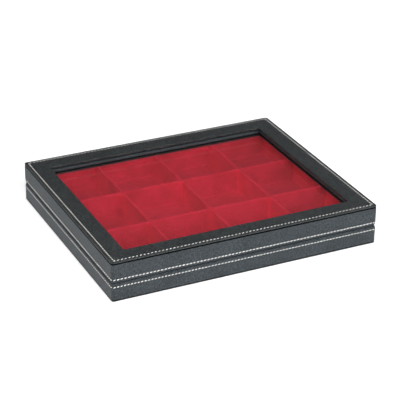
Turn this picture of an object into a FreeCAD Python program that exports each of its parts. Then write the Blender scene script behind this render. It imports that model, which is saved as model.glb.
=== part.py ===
import FreeCAD, Part
import math
import os

V = FreeCAD.Vector

# Coin display case: covered wooden base tray, hinged window lid,
# flocked insert with square compartments.
# Frame: origin at the middle of the bottom, +X along the long side,
# front is -Y (closing side), hinge line at +Y, +Z up. Millimetres.

# ---------------------------------------------------------------- sizes
W = 300.0              # outside length (X)
D = 250.0              # outside depth (Y)
H = 43.8               # height to the top face of the lid

Z_COVER_BOTTOM = 0.4   # covering's lowest level, above the felt pad's face
Z_WALL_BOTTOM = 1.0    # underside of base walls and bottom panel
Z_BASE_TOP = 20.3      # top of the covered base rim
Z_LID_BOTTOM = 20.6    # underside of the covered lid rim
Z_SHOULDER = 41.4      # top of the covered lid sides, under the top panel
Z_PANEL_EDGE = 42.5    # underside of the panel's outer edge, over the shadow groove
GROOVE_IN = 1.8        # how far that groove runs in under the panel

T_COVER = 0.8          # leatherette and backing on the outside faces
T_TURN = 0.6           # leatherette turned over rims
T_TOP = 0.4            # leatherette on the top panel
T_WALL = 5.6           # fibreboard wall
T_BOTTOM = 2.6         # bottom panel
R_VERT = 2.8           # vertical outside edges
R_RIM = 2.5            # rounded rim edges along the seam
R_FOOT = 1.4           # bottom edges
R_TOP = 0.85           # top panel outer edge, above
R_TOP_LOW = 0.35       # the same edge, below
R_SHOULDER = 0.5

FRAME = 22.3           # width of the top panel round the window
LINER_BACK = 3.5       # liner's bead stands back from the window edge
LINER_GROOVE = 3.0     # groove between bead and panel, its depth behind the bead
Z_BEAD_TOP = 38.4
R_BEAD = 2.2
Z_PANE_TOP = 33.8
T_PANE = 1.2
Z_RETAINER_LOW = 30.95 # underside of the strips that hold the pane up
RETAINER_IN = 0.2      # they reach this much further in than the bead

PITCH_X = 70.1         # compartment pitch along X, 4 columns
PITCH_Y = 74.0         # compartment pitch along Y, 3 rows
COLS, ROWS = 4, 3
RIDGE = 2.8            # divider thickness at the top
DRAFT = 0.7            # each pocket wall leans in by this much at the floor
Z_INSERT_TOP = 30.8
Z_INSERT_FLOOR = 4.6
INSERT_GAP = 0.7       # insert to covering

STITCH_INSET = 3.88    # top stitching from the outside edge
STITCH_W = 0.8
STITCH_PROUD = 0.15
GROOVE_W = 1.0
GROOVE_DEPTH = 0.3
Z_STITCH_LID = 24.5
Z_STITCH_BASE = 16.4

HINGE_X = (-85.0, 85.0)
HINGE_Y = 123.8        # pin axis
HINGE_Z = 20.45
LEAF_LEN = 26.0
LEAF_T = 0.8
LEAF_Y0 = 119.0        # inner edge of the leaves
KNUCKLE_R = 1.35
KNUCKLE_MID = 8.6      # middle knuckle length
KNUCKLE_GAP = 0.2
PIN_R = 0.55
FIT_FIXED = 0.01
FIT_RUN = 0.05
BARREL_CLEAR = 0.3
SCREW_X = 8.3
SCREW_Y = 120.55
SCREW_R = 0.8
SCREW_HEAD_R = 1.35
SCREW_LEN = 7.0

MAGNET = (12.0, 3.4, 3.0)
PLATE = (12.0, 3.4, 1.2)
MAGNET_X = (-96.0, 96.0)
MAGNET_Y = -120.7       # middle of the closure pieces, inside the front walls

os.makedirs("parts", exist_ok=True)


# ---------------------------------------------------------------- helpers
def block(x0, x1, y0, y1, z0, z1):
    return Part.makeBox(x1 - x0, y1 - y0, z1 - z0, V(x0, y0, z0))


def centred(hx, hy, z0, z1):
    return block(-hx, hx, -hy, hy, z0, z1)


def rounded(hx, hy, z0, z1, r_vert, r_bottom=0.0, r_top=0.0):
    """Box about the Z axis with rounded vertical, bottom and top edges."""
    s = centred(hx, hy, z0, z1)
    if r_vert > 0:
        es = [e for e in s.Edges
              if abs(e.Vertexes[0].Z - e.Vertexes[1].Z) > 1e-6]
        s = s.makeFillet(r_vert, es)
    for r, z in ((r_bottom, z0), (r_top, z1)):
        if r > 0:
            es = [e for e in s.Edges
                  if abs(e.BoundBox.ZMin - z) < 1e-5 and abs(e.BoundBox.ZMax - z) < 1e-5]
            s = s.makeFillet(r, es)
    return s


def ring(hx, hy, r, t, z0, z1):
    """Closed band of thickness t, outside half sizes hx, hy."""
    outer = rounded(hx, hy, z0, z1, r)
    inner = rounded(hx - t, hy - t, z0 - 1, z1 + 1, max(r - t, 0.05))
    return outer.cut(inner)


def save(name, shape):
    shape = shape.removeSplitter()
    sols = shape.Solids
    if len(sols) == 1:
        out = sols[0]
    else:
        out = Part.makeCompound(sols)
    assert out.isValid(), name
    out.exportStep("parts/%s.step" % name)
    bb = out.BoundBox
    print("%-24s solids %d  vol %.1f  x %.2f..%.2f y %.2f..%.2f z %.2f..%.2f" % (
        name, len(sols), out.Volume, bb.XMin, bb.XMax, bb.YMin, bb.YMax, bb.ZMin, bb.ZMax))
    return out


HX, HY = W / 2.0, D / 2.0
WX, WY = HX - T_COVER, HY - T_COVER            # outside of the wooden walls
IX, IY = WX - T_WALL, WY - T_WALL              # inside of the wooden walls
CX, CY = IX - T_TURN, IY - T_TURN              # inside of the covering
Z_WALL_TOP = Z_BASE_TOP - T_TURN
Z_LIDWALL_LOW = Z_LID_BOTTOM + T_TURN
LX, LY = HX - FRAME, HY - FRAME                # window edge
NX, NY = LX + LINER_BACK, LY + LINER_BACK      # liner face


# ---------------------------------------------------------------- hinge cutters
def along_x(r, x0, x1):
    return Part.makeCylinder(r, x1 - x0, V(x0, HINGE_Y, HINGE_Z), V(1, 0, 0))


def hinge_mortise(side):
    """Space let into the rims for one pair of leaves and their barrel."""
    cuts = []
    h = LEAF_LEN / 2.0
    for xc in HINGE_X:
        barrel = along_x(KNUCKLE_R + BARREL_CLEAR, xc - h - 0.6, xc + h + 0.6)
        if side == "base":
            bed = block(xc - h - 0.2, xc + h + 0.2, LEAF_Y0 - 0.2, HINGE_Y + 0.2,
                        Z_BASE_TOP - LEAF_T, Z_BASE_TOP + 1.0)
        else:
            bed = block(xc - h - 0.2, xc + h + 0.2, LEAF_Y0 - 0.2, HINGE_Y + 0.2,
                        Z_LID_BOTTOM - 1.0, Z_LID_BOTTOM + LEAF_T)
        cuts.append(barrel.fuse(bed))
    return cuts


def screw_at(x, z_face, down):
    """Countersunk wood screw, its flat head level with z_face."""
    d = -1.0 if down else 1.0
    cone = Part.makeCone(SCREW_HEAD_R, SCREW_R, LEAF_T, V(x, SCREW_Y, z_face), V(0, 0, d))
    shank = Part.makeCylinder(SCREW_R, SCREW_LEN - 2.0 - LEAF_T,
                              V(x, SCREW_Y, z_face + d * LEAF_T), V(0, 0, d))
    tip = Part.makeCone(SCREW_R, 0.15, 2.0, V(x, SCREW_Y, z_face + d * (SCREW_LEN - 2.0)), V(0, 0, d))
    s = cone.fuse([shank, tip])
    slot = Part.makeBox(SCREW_HEAD_R * 2.2, 0.35, 0.3,
                        V(x - SCREW_HEAD_R * 1.1, SCREW_Y - 0.175, z_face - 0.3 if down else z_face))
    return s.cut(slot)


def screw_hole(x, z_face, down):
    """Hole for that screw, a hair larger than its shank and tip."""
    d = -1.0 if down else 1.0
    g = 0.03
    cyl = Part.makeCylinder(SCREW_R + g, SCREW_LEN + 0.2, V(x, SCREW_Y, z_face), V(0, 0, d))
    return cyl


def countersink(x, z_face, down):
    d = -1.0 if down else 1.0
    g = 0.02
    return Part.makeCone(SCREW_HEAD_R + g + 0.02, SCREW_R + g, LEAF_T + 0.02,
                         V(x, SCREW_Y, z_face - d * 0.01), V(0, 0, d))


screw_xs = [xc + s for xc in HINGE_X for s in (-SCREW_X, SCREW_X)]

# ---------------------------------------------------------------- base walls
wall_block = rounded(WX, WY, Z_WALL_BOTTOM, Z_WALL_TOP, R_VERT - T_COVER,
                     R_FOOT - T_TURN, R_RIM - T_COVER)
base_cuts = hinge_mortise("base")
front = wall_block.common(block(-WX, WX, -WY, -IY, Z_WALL_BOTTOM, Z_WALL_TOP))
back = wall_block.common(block(-WX, WX, IY, WY, Z_WALL_BOTTOM, Z_WALL_TOP))
left = wall_block.common(block(-WX, -IX, -IY, IY, Z_WALL_BOTTOM, Z_WALL_TOP))
right = wall_block.common(block(IX, WX, -IY, IY, Z_WALL_BOTTOM, Z_WALL_TOP))

magnets = []
for xc in MAGNET_X:
    ym = MAGNET_Y
    magnets.append(block(xc - MAGNET[0] / 2, xc + MAGNET[0] / 2, ym - MAGNET[1] / 2,
                         ym + MAGNET[1] / 2, Z_WALL_TOP - MAGNET[2], Z_WALL_TOP))
for m in magnets:
    front = front.cut(m)
for c in base_cuts:
    back = back.cut(c)
for x in screw_xs:
    back = back.cut(screw_hole(x, Z_BASE_TOP, True))
save("base_front_wall", front)
save("base_back_wall", back)
save("base_left_wall", left)
save("base_right_wall", right)
save("closure_magnets", Part.makeCompound(magnets))

# bottom panel between the walls, felt pad glued under it
save("base_bottom_panel", centred(IX, IY, Z_WALL_BOTTOM, Z_WALL_BOTTOM + T_BOTTOM))
PAD_X, PAD_Y = HX - 9.5, HY - 9.5
save("base_felt_pad", rounded(PAD_X, PAD_Y, 0.0, Z_WALL_BOTTOM, 3.0))

# ---------------------------------------------------------------- base covering
# one wrapped sheet: outside faces, over the rim, down the inside, and
# turned in under the bottom as far as the felt pad
env = rounded(HX, HY, Z_COVER_BOTTOM, Z_BASE_TOP, R_VERT, R_FOOT, R_RIM)
cover = env.cut(wall_block)
cover = cover.cut(centred(CX, CY, Z_WALL_BOTTOM - 0.05, Z_BASE_TOP + 1))
cover = cover.cut(centred(IX, IY, Z_WALL_BOTTOM - 0.05, Z_WALL_BOTTOM + T_BOTTOM))
cover = cover.cut(rounded(PAD_X + 0.4, PAD_Y + 0.4, -1, Z_WALL_BOTTOM + 0.5, 3.4))
skin = centred(IX, IY, Z_WALL_BOTTOM + T_BOTTOM, Z_WALL_TOP).cut(
    centred(CX, CY, 0, Z_BASE_TOP))
cover = cover.fuse(skin)
cover = cover.cut(ring(HX + 0.5, HY + 0.5, R_VERT + 0.5, GROOVE_DEPTH + 0.5,
                       Z_STITCH_BASE - GROOVE_W / 2, Z_STITCH_BASE + GROOVE_W / 2))
for c in base_cuts:
    cover = cover.cut(c)
save("base_cover", cover)
save("base_stitching", ring(HX + STITCH_PROUD, HY + STITCH_PROUD, R_VERT + STITCH_PROUD,
                            GROOVE_DEPTH + STITCH_PROUD,
                            Z_STITCH_BASE - STITCH_W / 2, Z_STITCH_BASE + STITCH_W / 2))


# ---------------------------------------------------------------- coin insert
def rrect_wire(hx, hy, r, z, cx, cy):
    pts = []
    k = r
    p = [V(cx - hx + k, cy - hy, z), V(cx + hx - k, cy - hy, z),
         V(cx + hx, cy - hy + k, z), V(cx + hx, cy + hy - k, z),
         V(cx + hx - k, cy + hy, z), V(cx - hx + k, cy + hy, z),
         V(cx - hx, cy + hy - k, z), V(cx - hx, cy - hy + k, z)]
    c = r * (1 - math.sqrt(0.5))
    mids = [V(cx + hx - c, cy - hy + c, z), V(cx + hx - c, cy + hy - c, z),
            V(cx - hx + c, cy + hy - c, z), V(cx - hx + c, cy - hy + c, z)]
    es = []
    for i in range(4):
        a, b = p[2 * i], p[2 * i + 1]
        es.append(Part.LineSegment(a, b).toShape())
        n = p[(2 * i + 2) % 8]
        es.append(Part.Arc(b, mids[i], n).toShape())
    return Part.Wire(es)


INX, INY = CX - INSERT_GAP, CY - INSERT_GAP
Z_INSERT_LOW = Z_WALL_BOTTOM + T_BOTTOM
insert = rounded(INX, INY, Z_INSERT_LOW, Z_INSERT_TOP, 3.0, 0.6, 1.3)
px, py = (PITCH_X - RIDGE) / 2.0, (PITCH_Y - RIDGE) / 2.0
centres = [((i - (COLS - 1) / 2.0) * PITCH_X, (j - (ROWS - 1) / 2.0) * PITCH_Y)
           for j in range(ROWS) for i in range(COLS)]
for cx, cy in centres:
    grow = DRAFT * 2.0 / (Z_INSERT_TOP - Z_INSERT_FLOOR)
    top = rrect_wire(px + grow, py + grow, 2.6, Z_INSERT_TOP + 2.0, cx, cy)
    low = rrect_wire(px - DRAFT, py - DRAFT, 2.0, Z_INSERT_FLOOR, cx, cy)
    tool = Part.makeLoft([low, top], True, True)
    es = [e for e in tool.Edges if abs(e.BoundBox.ZMin - Z_INSERT_FLOOR) < 1e-4
          and abs(e.BoundBox.ZMax - Z_INSERT_FLOOR) < 1e-4]
    try:
        tool = tool.makeFillet(1.4, es)
    except Exception as ex:
        print("pocket floor fillet skipped", ex)
    insert = insert.cut(tool)
es = []
for e in insert.Edges:
    b = e.BoundBox
    if abs(b.ZMin - Z_INSERT_TOP) < 1e-4 and abs(b.ZMax - Z_INSERT_TOP) < 1e-4:
        if max(abs(b.XMin), abs(b.XMax)) < INX - 1.4 and max(abs(b.YMin), abs(b.YMax)) < INY - 1.4:
            es.append(e)
try:
    f = insert.makeFillet(1.1, es)
    if f.isValid() and len(f.Solids) == 1:
        insert = f
    else:
        print("ridge fillet not valid")
except Exception as ex:
    print("ridge fillet skipped", ex)
save("coin_insert", insert)

# ---------------------------------------------------------------- lid walls
Z_LIDWALL_TOP = Z_SHOULDER - T_TURN
lid_block = rounded(WX, WY, Z_LIDWALL_LOW, Z_LIDWALL_TOP, R_VERT - T_COVER,
                    R_RIM - T_COVER, 0.0)
lid_cuts = hinge_mortise("lid")
lf = lid_block.common(block(-WX, WX, -WY, -IY, Z_LIDWALL_LOW, Z_LIDWALL_TOP))
lb = lid_block.common(block(-WX, WX, IY, WY, Z_LIDWALL_LOW, Z_LIDWALL_TOP))
ll = lid_block.common(block(-WX, -IX, -IY, IY, Z_LIDWALL_LOW, Z_LIDWALL_TOP))
lr = lid_block.common(block(IX, WX, -IY, IY, Z_LIDWALL_LOW, Z_LIDWALL_TOP))
plates = []
for xc in MAGNET_X:
    ym = MAGNET_Y
    plates.append(block(xc - PLATE[0] / 2, xc + PLATE[0] / 2, ym - PLATE[1] / 2,
                        ym + PLATE[1] / 2, Z_LIDWALL_LOW, Z_LIDWALL_LOW + PLATE[2]))
for m in plates:
    lf = lf.cut(m)
for c in lid_cuts:
    lb = lb.cut(c)
for x in screw_xs:
    lb = lb.cut(screw_hole(x, Z_LID_BOTTOM, False))
save("lid_front_wall", lf)
save("lid_back_wall", lb)
save("lid_left_wall", ll)
save("lid_right_wall", lr)
save("closure_plates", Part.makeCompound(plates))

# ---------------------------------------------------------------- lid side covering
env = rounded(HX, HY, Z_LID_BOTTOM, Z_SHOULDER, R_VERT, R_RIM, R_SHOULDER)
cover = env.cut(lid_block)
cover = cover.cut(centred(CX, CY, Z_LID_BOTTOM - 1, Z_PANE_TOP))
cover = cover.cut(centred(IX, IY, Z_PANE_TOP, Z_SHOULDER + 1))
skin = centred(IX, IY, Z_LIDWALL_LOW, Z_PANE_TOP).cut(centred(CX, CY, 0, 60))
cover = cover.fuse(skin)
cover = cover.cut(ring(HX + 0.5, HY + 0.5, R_VERT + 0.5, GROOVE_DEPTH + 0.5,
                       Z_STITCH_LID - GROOVE_W / 2, Z_STITCH_LID + GROOVE_W / 2))
for c in lid_cuts:
    cover = cover.cut(c)
save("lid_side_cover", cover)
save("lid_side_stitching", ring(HX + STITCH_PROUD, HY + STITCH_PROUD, R_VERT + STITCH_PROUD,
                                GROOVE_DEPTH + STITCH_PROUD,
                                Z_STITCH_LID - STITCH_W / 2, Z_STITCH_LID + STITCH_W / 2))

# ---------------------------------------------------------------- top panel
# the board is rebated below its outer edge, which makes the shadow groove
Z_BOARD_TOP = H - T_TOP
g = GROOVE_IN + T_TOP
board = centred(HX - T_TOP - 0.1, HY - T_TOP - 0.1, Z_PANEL_EDGE + T_TOP, Z_BOARD_TOP - 0.0)
es = [e for e in board.Edges if abs(e.Vertexes[0].Z - e.Vertexes[1].Z) > 1e-6]
board = board.makeFillet(R_VERT - T_TOP, es)
es = [e for e in board.Edges if abs(e.BoundBox.ZMin - Z_BOARD_TOP) < 1e-5 and abs(e.BoundBox.ZMax - Z_BOARD_TOP) < 1e-5]
board = board.makeFillet(R_TOP - T_TOP, es)
board = board.fuse(centred(HX - g, HY - g, Z_SHOULDER + T_TOP, Z_PANEL_EDGE + T_TOP + 0.1)).removeSplitter()
board = board.cut(rounded(LX + T_TOP + 0.3, LY + T_TOP + 0.3, Z_SHOULDER - 2, H + 2, 1.3))
save("lid_top_board", board)

env = rounded(HX, HY, Z_PANEL_EDGE, H, R_VERT, R_TOP_LOW, R_TOP)
env = env.fuse(rounded(HX - GROOVE_IN, HY - GROOVE_IN, Z_SHOULDER, Z_PANEL_EDGE + 0.3, 1.0))
hole = rounded(LX, LY, Z_SHOULDER - 2, H + 2, 0.8)
env = env.cut(hole)
for z, r in ((H, 0.9), (Z_SHOULDER, 0.4)):
    es = []
    for e in env.Edges:
        b = e.BoundBox
        if max(abs(b.XMin), abs(b.XMax)) < LX + 0.01 and max(abs(b.YMin), abs(b.YMax)) < LY + 0.01:
            if abs(b.ZMin - z) < 1e-4 and abs(b.ZMax - z) < 1e-4:
                es.append(e)
    try:
        f = env.makeFillet(r, es)
        if f.isValid():
            env = f
        else:
            print("window edge fillet not valid", z)
    except Exception as ex:
        print("window edge fillet skipped", z, ex)
top_cover = env.cut(board)
SX, SY = HX - STITCH_INSET, HY - STITCH_INSET
top_cover = top_cover.cut(ring(SX + GROOVE_W / 2, SY + GROOVE_W / 2, 1.2, GROOVE_W,
                               H - GROOVE_DEPTH, H + 1))
save("lid_top_cover", top_cover)
save("lid_top_stitching", ring(SX + STITCH_W / 2, SY + STITCH_W / 2, 1.1, STITCH_W,
                               H - GROOVE_DEPTH, H + STITCH_PROUD))


# ---------------------------------------------------------------- liner, pane and its strips
def prism(pts, z0, z1):
    w = Part.makePolygon([V(x, y, z0) for x, y in pts] + [V(pts[0][0], pts[0][1], z0)])
    return Part.Face(w).extrude(V(0, 0, z1 - z0))


def mitred(shape, x1, y1, x0, y0, z0, z1):
    """Cuts a frame into its four sides along the corner mitres."""
    return (("front", shape.common(prism([(-x1, -y1), (x1, -y1), (x0, -y0), (-x0, -y0)], z0, z1))),
            ("back", shape.common(prism([(-x1, y1), (-x0, y0), (x0, y0), (x1, y1)], z0, z1))),
            ("left", shape.common(prism([(-x1, -y1), (-x0, -y0), (-x0, y0), (-x1, y1)], z0, z1))),
            ("right", shape.common(prism([(x1, -y1), (x1, y1), (x0, y0), (x0, -y0)], z0, z1))))


bead = centred(IX, IY, Z_PANE_TOP, Z_BEAD_TOP).cut(centred(NX, NY, Z_PANE_TOP - 1, Z_BEAD_TOP + 1))
es = []
for e in bead.Edges:
    b = e.BoundBox
    if (max(abs(b.XMin), abs(b.XMax)) < NX + 0.01 and max(abs(b.YMin), abs(b.YMax)) < NY + 0.01
            and b.ZMax - b.ZMin < 1e-4 and min(abs(b.ZMin - Z_BEAD_TOP), abs(b.ZMin - Z_PANE_TOP)) < 1e-4):
        es.append(e)
bead = bead.makeFillet(R_BEAD, es)
web = centred(IX, IY, Z_BEAD_TOP, Z_SHOULDER).cut(
    centred(NX + LINER_GROOVE, NY + LINER_GROOVE, Z_BEAD_TOP - 1, Z_SHOULDER + 1))
liner = bead.fuse(web).removeSplitter()
k = IX - NX + 10.0
for side, shape in mitred(liner, IX, IY, IX - k, IY - k, Z_PANE_TOP - 1, Z_SHOULDER + 1):
    save("window_liner_" + side, shape)
save("window_pane", rounded(CX - 1.0, CY - 1.0, Z_PANE_TOP - T_PANE, Z_PANE_TOP, 1.5, 0.2, 0.0))
RX, RY = NX - RETAINER_IN, NY - RETAINER_IN
strips = centred(CX - 0.1, CY - 0.1, Z_RETAINER_LOW, Z_PANE_TOP - T_PANE).cut(
    centred(RX, RY, Z_RETAINER_LOW - 1, Z_PANE_TOP + 1))
k = CX - 0.1 - RX + 10.0
for side, shape in mitred(strips, CX - 0.1, CY - 0.1, CX - 0.1 - k, CY - 0.1 - k, Z_RETAINER_LOW - 1, Z_PANE_TOP + 1):
    save("pane_strip_" + side, shape)

# ---------------------------------------------------------------- hinges
base_leaves, lid_leaves, pins, base_screws, lid_screws = [], [], [], [], []
h = LEAF_LEN / 2.0
m = KNUCKLE_MID / 2.0
for xc in HINGE_X:
    plate = block(xc - h, xc + h, LEAF_Y0, HINGE_Y, Z_BASE_TOP - LEAF_T, Z_BASE_TOP)
    plate = plate.cut(along_x(KNUCKLE_R + 0.2, xc - m - KNUCKLE_GAP, xc + m + KNUCKLE_GAP))
    leaf = plate.fuse([along_x(KNUCKLE_R, xc - h, xc - m - KNUCKLE_GAP),
                       along_x(KNUCKLE_R, xc + m + KNUCKLE_GAP, xc + h)])
    leaf = leaf.cut(along_x(PIN_R + FIT_FIXED, xc - h - 1, xc + h + 1))
    for s in (-SCREW_X, SCREW_X):
        leaf = leaf.cut(countersink(xc + s, Z_BASE_TOP, True))
        base_screws.append(screw_at(xc + s, Z_BASE_TOP, True))
    base_leaves.append(leaf)

    plate = block(xc - h, xc + h, LEAF_Y0, HINGE_Y, Z_LID_BOTTOM, Z_LID_BOTTOM + LEAF_T)
    plate = plate.cut(along_x(KNUCKLE_R + 0.2, xc - h - 1, xc - m))
    plate = plate.cut(along_x(KNUCKLE_R + 0.2, xc + m, xc + h + 1))
    leaf = plate.fuse(along_x(KNUCKLE_R, xc - m, xc + m))
    leaf = leaf.cut(along_x(PIN_R + FIT_RUN, xc - h - 1, xc + h + 1))
    for s in (-SCREW_X, SCREW_X):
        leaf = leaf.cut(countersink(xc + s, Z_LID_BOTTOM, False))
        lid_screws.append(screw_at(xc + s, Z_LID_BOTTOM, False))
    lid_leaves.append(leaf)

    pin = along_x(PIN_R, xc - h - 0.3, xc + h + 0.3)
    es = [e for e in pin.Edges if abs(e.BoundBox.XMax - e.BoundBox.XMin) < 1e-6]
    pins.append(pin.makeFillet(0.25, es))
save("base_hinge_leaves", Part.makeCompound(base_leaves))
save("lid_hinge_leaves", Part.makeCompound(lid_leaves))
save("hinge_pins", Part.makeCompound(pins))
save("base_hinge_screws", Part.makeCompound(base_screws))
save("lid_hinge_screws", Part.makeCompound(lid_screws))
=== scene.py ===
import math
import random

import bmesh
import bpy
import numpy as np
from mathutils import Matrix, Vector, noise


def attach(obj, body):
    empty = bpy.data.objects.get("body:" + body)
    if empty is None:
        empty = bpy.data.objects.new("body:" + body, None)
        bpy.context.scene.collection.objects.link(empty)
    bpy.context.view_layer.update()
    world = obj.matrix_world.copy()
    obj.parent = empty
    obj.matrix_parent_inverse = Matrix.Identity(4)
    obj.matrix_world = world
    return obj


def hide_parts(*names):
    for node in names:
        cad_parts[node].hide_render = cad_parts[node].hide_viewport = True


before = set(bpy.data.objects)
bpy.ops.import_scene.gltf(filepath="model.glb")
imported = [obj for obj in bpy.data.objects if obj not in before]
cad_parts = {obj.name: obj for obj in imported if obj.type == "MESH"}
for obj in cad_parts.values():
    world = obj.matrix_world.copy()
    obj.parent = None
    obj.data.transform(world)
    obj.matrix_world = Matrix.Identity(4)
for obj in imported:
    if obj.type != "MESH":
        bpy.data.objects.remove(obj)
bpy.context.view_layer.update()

scene = bpy.context.scene
scene.view_settings.view_transform = "Standard"
scene.view_settings.look = "None"
MM = 0.001

# ------------------------------------------------------------------ sizes (mm)
HX, HY = 150.0, 125.0
H = 43.8
R_VERT = 2.8
PITCH_X, PITCH_Y = 70.1, 74.0
COLS, ROWS = 4, 3
RIDGE = 2.8
Z_TOP, Z_FLOOR, Z_LOW = 30.8, 4.6, 3.6
DRAFT = 0.7
INX, INY = 142.3, 117.3
STITCH_INSET = 3.88
Z_BASE_TOP, Z_LID_BOTTOM = 20.3, 20.6
Z_STITCH_BASE, Z_STITCH_LID = 16.4, 24.5
Z_SHOULDER, Z_PANEL_LOW = 41.4, 42.7
N_GROOVE = 1.8         # the shadow groove runs in this far under the panel
N_IN = 7.0             # inner face of the covering, from the outside face
N_WALL, N_WALL_IN = 0.8, 6.4
N_WINDOW = 22.3
N_BEAD = 18.8          # face of the liner's bead
HINGE_X, HINGE_Y, HINGE_Z = (-85.0, 85.0), 123.8, 20.45

# ------------------------------------------------------------------ camera
AZ, EL, ROLL = math.radians(-25.655), math.radians(26.823), math.radians(0.565)
DIST, TX, TY, FPX = 1.723606, 0.004390, 0.021607, 1593.04
back = Vector((math.sin(AZ) * math.cos(EL), -math.cos(AZ) * math.cos(EL), math.sin(EL)))
right = Vector((0, 0, 1)).cross(back).normalized()
up = back.cross(right)
cr = right * math.cos(ROLL) + up * math.sin(ROLL)
cu = -right * math.sin(ROLL) + up * math.cos(ROLL)
loc = back * DIST + cr * TX + cu * TY
cam_data = bpy.data.cameras.new("camera")
cam_data.sensor_width = 36.0
cam_data.lens = FPX * 36.0 / 400.0
cam_data.clip_start, cam_data.clip_end = 0.05, 20.0
cam = bpy.data.objects.new("camera", cam_data)
scene.collection.objects.link(cam)
cam.matrix_world = Matrix(((cr.x, cu.x, back.x, loc.x),
                           (cr.y, cu.y, back.y, loc.y),
                           (cr.z, cu.z, back.z, loc.z),
                           (0, 0, 0, 1)))
scene.camera = cam


# ------------------------------------------------------------------ node helpers
class Mat:
    def __init__(self, name):
        self.m = bpy.data.materials.new(name)
        self.m.use_nodes = True
        self.nt = self.m.node_tree
        self.nt.nodes.clear()
        self.out = self.add("ShaderNodeOutputMaterial")
        self.bsdf = self.add("ShaderNodeBsdfPrincipled")
        self.link(self.bsdf.outputs[0], self.out.inputs["Surface"])
        self.tc = self.add("ShaderNodeTexCoord")
        self.co = self.tc.outputs["Object"]

    def add(self, kind, **kw):
        n = self.nt.nodes.new(kind)
        for k, v in kw.items():
            setattr(n, k, v)
        return n

    def link(self, a, b):
        self.nt.links.new(a, b)

    def set(self, **kw):
        for k, v in kw.items():
            self.bsdf.inputs[k.replace("_", " ")].default_value = v
        return self

    def noise(self, scale, detail=2.0, rough=0.5, co=None, distortion=0.0):
        n = self.add("ShaderNodeTexNoise")
        n.inputs["Scale"].default_value = scale
        n.inputs["Detail"].default_value = detail
        n.inputs["Roughness"].default_value = rough
        n.inputs["Distortion"].default_value = distortion
        self.link(co or self.co, n.inputs["Vector"])
        return n.outputs["Fac"]

    def voronoi(self, scale, feature="F1", randomness=1.0, co=None):
        n = self.add("ShaderNodeTexVoronoi", feature=feature)
        n.inputs["Scale"].default_value = scale
        n.inputs["Randomness"].default_value = randomness
        self.link(co or self.co, n.inputs["Vector"])
        return n.outputs["Distance"]

    def math(self, op, a, b=None, clamp=False):
        n = self.add("ShaderNodeMath", operation=op, use_clamp=clamp)
        for i, v in enumerate((a, b)):
            if v is None:
                continue
            if isinstance(v, (int, float)):
                n.inputs[i].default_value = v
            else:
                self.link(v, n.inputs[i])
        return n.outputs[0]

    def ramp(self, fac, stops):
        n = self.add("ShaderNodeValToRGB")
        el = n.color_ramp.elements
        while len(el) < len(stops):
            el.new(0.5)
        for e, (p, c) in zip(el, stops):
            e.position = p
            e.color = c if len(c) == 4 else (*c, 1.0)
        self.link(fac, n.inputs["Fac"])
        return n.outputs["Color"]

    def mix(self, fac, a, b, blend="MIX"):
        n = self.add("ShaderNodeMix", data_type="RGBA", blend_type=blend)
        for s, v in ((n.inputs[0], fac), (n.inputs[6], a), (n.inputs[7], b)):
            if isinstance(v, (int, float)):
                s.default_value = v
            elif isinstance(v, tuple):
                s.default_value = v if len(v) == 4 else (*v, 1.0)
            else:
                self.link(v, s)
        return n.outputs[2]

    def range(self, v, lo, hi):
        n = self.add("ShaderNodeMapRange")
        n.inputs["To Min"].default_value = lo
        n.inputs["To Max"].default_value = hi
        self.link(v, n.inputs["Value"])
        return n.outputs["Result"]

    def bump(self, height, distance, strength=1.0, normal=None):
        n = self.add("ShaderNodeBump")
        n.inputs["Distance"].default_value = distance
        n.inputs["Strength"].default_value = strength
        self.link(height, n.inputs["Height"])
        if normal is not None:
            self.link(normal, n.inputs["Normal"])
        return n.outputs["Normal"]


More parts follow.
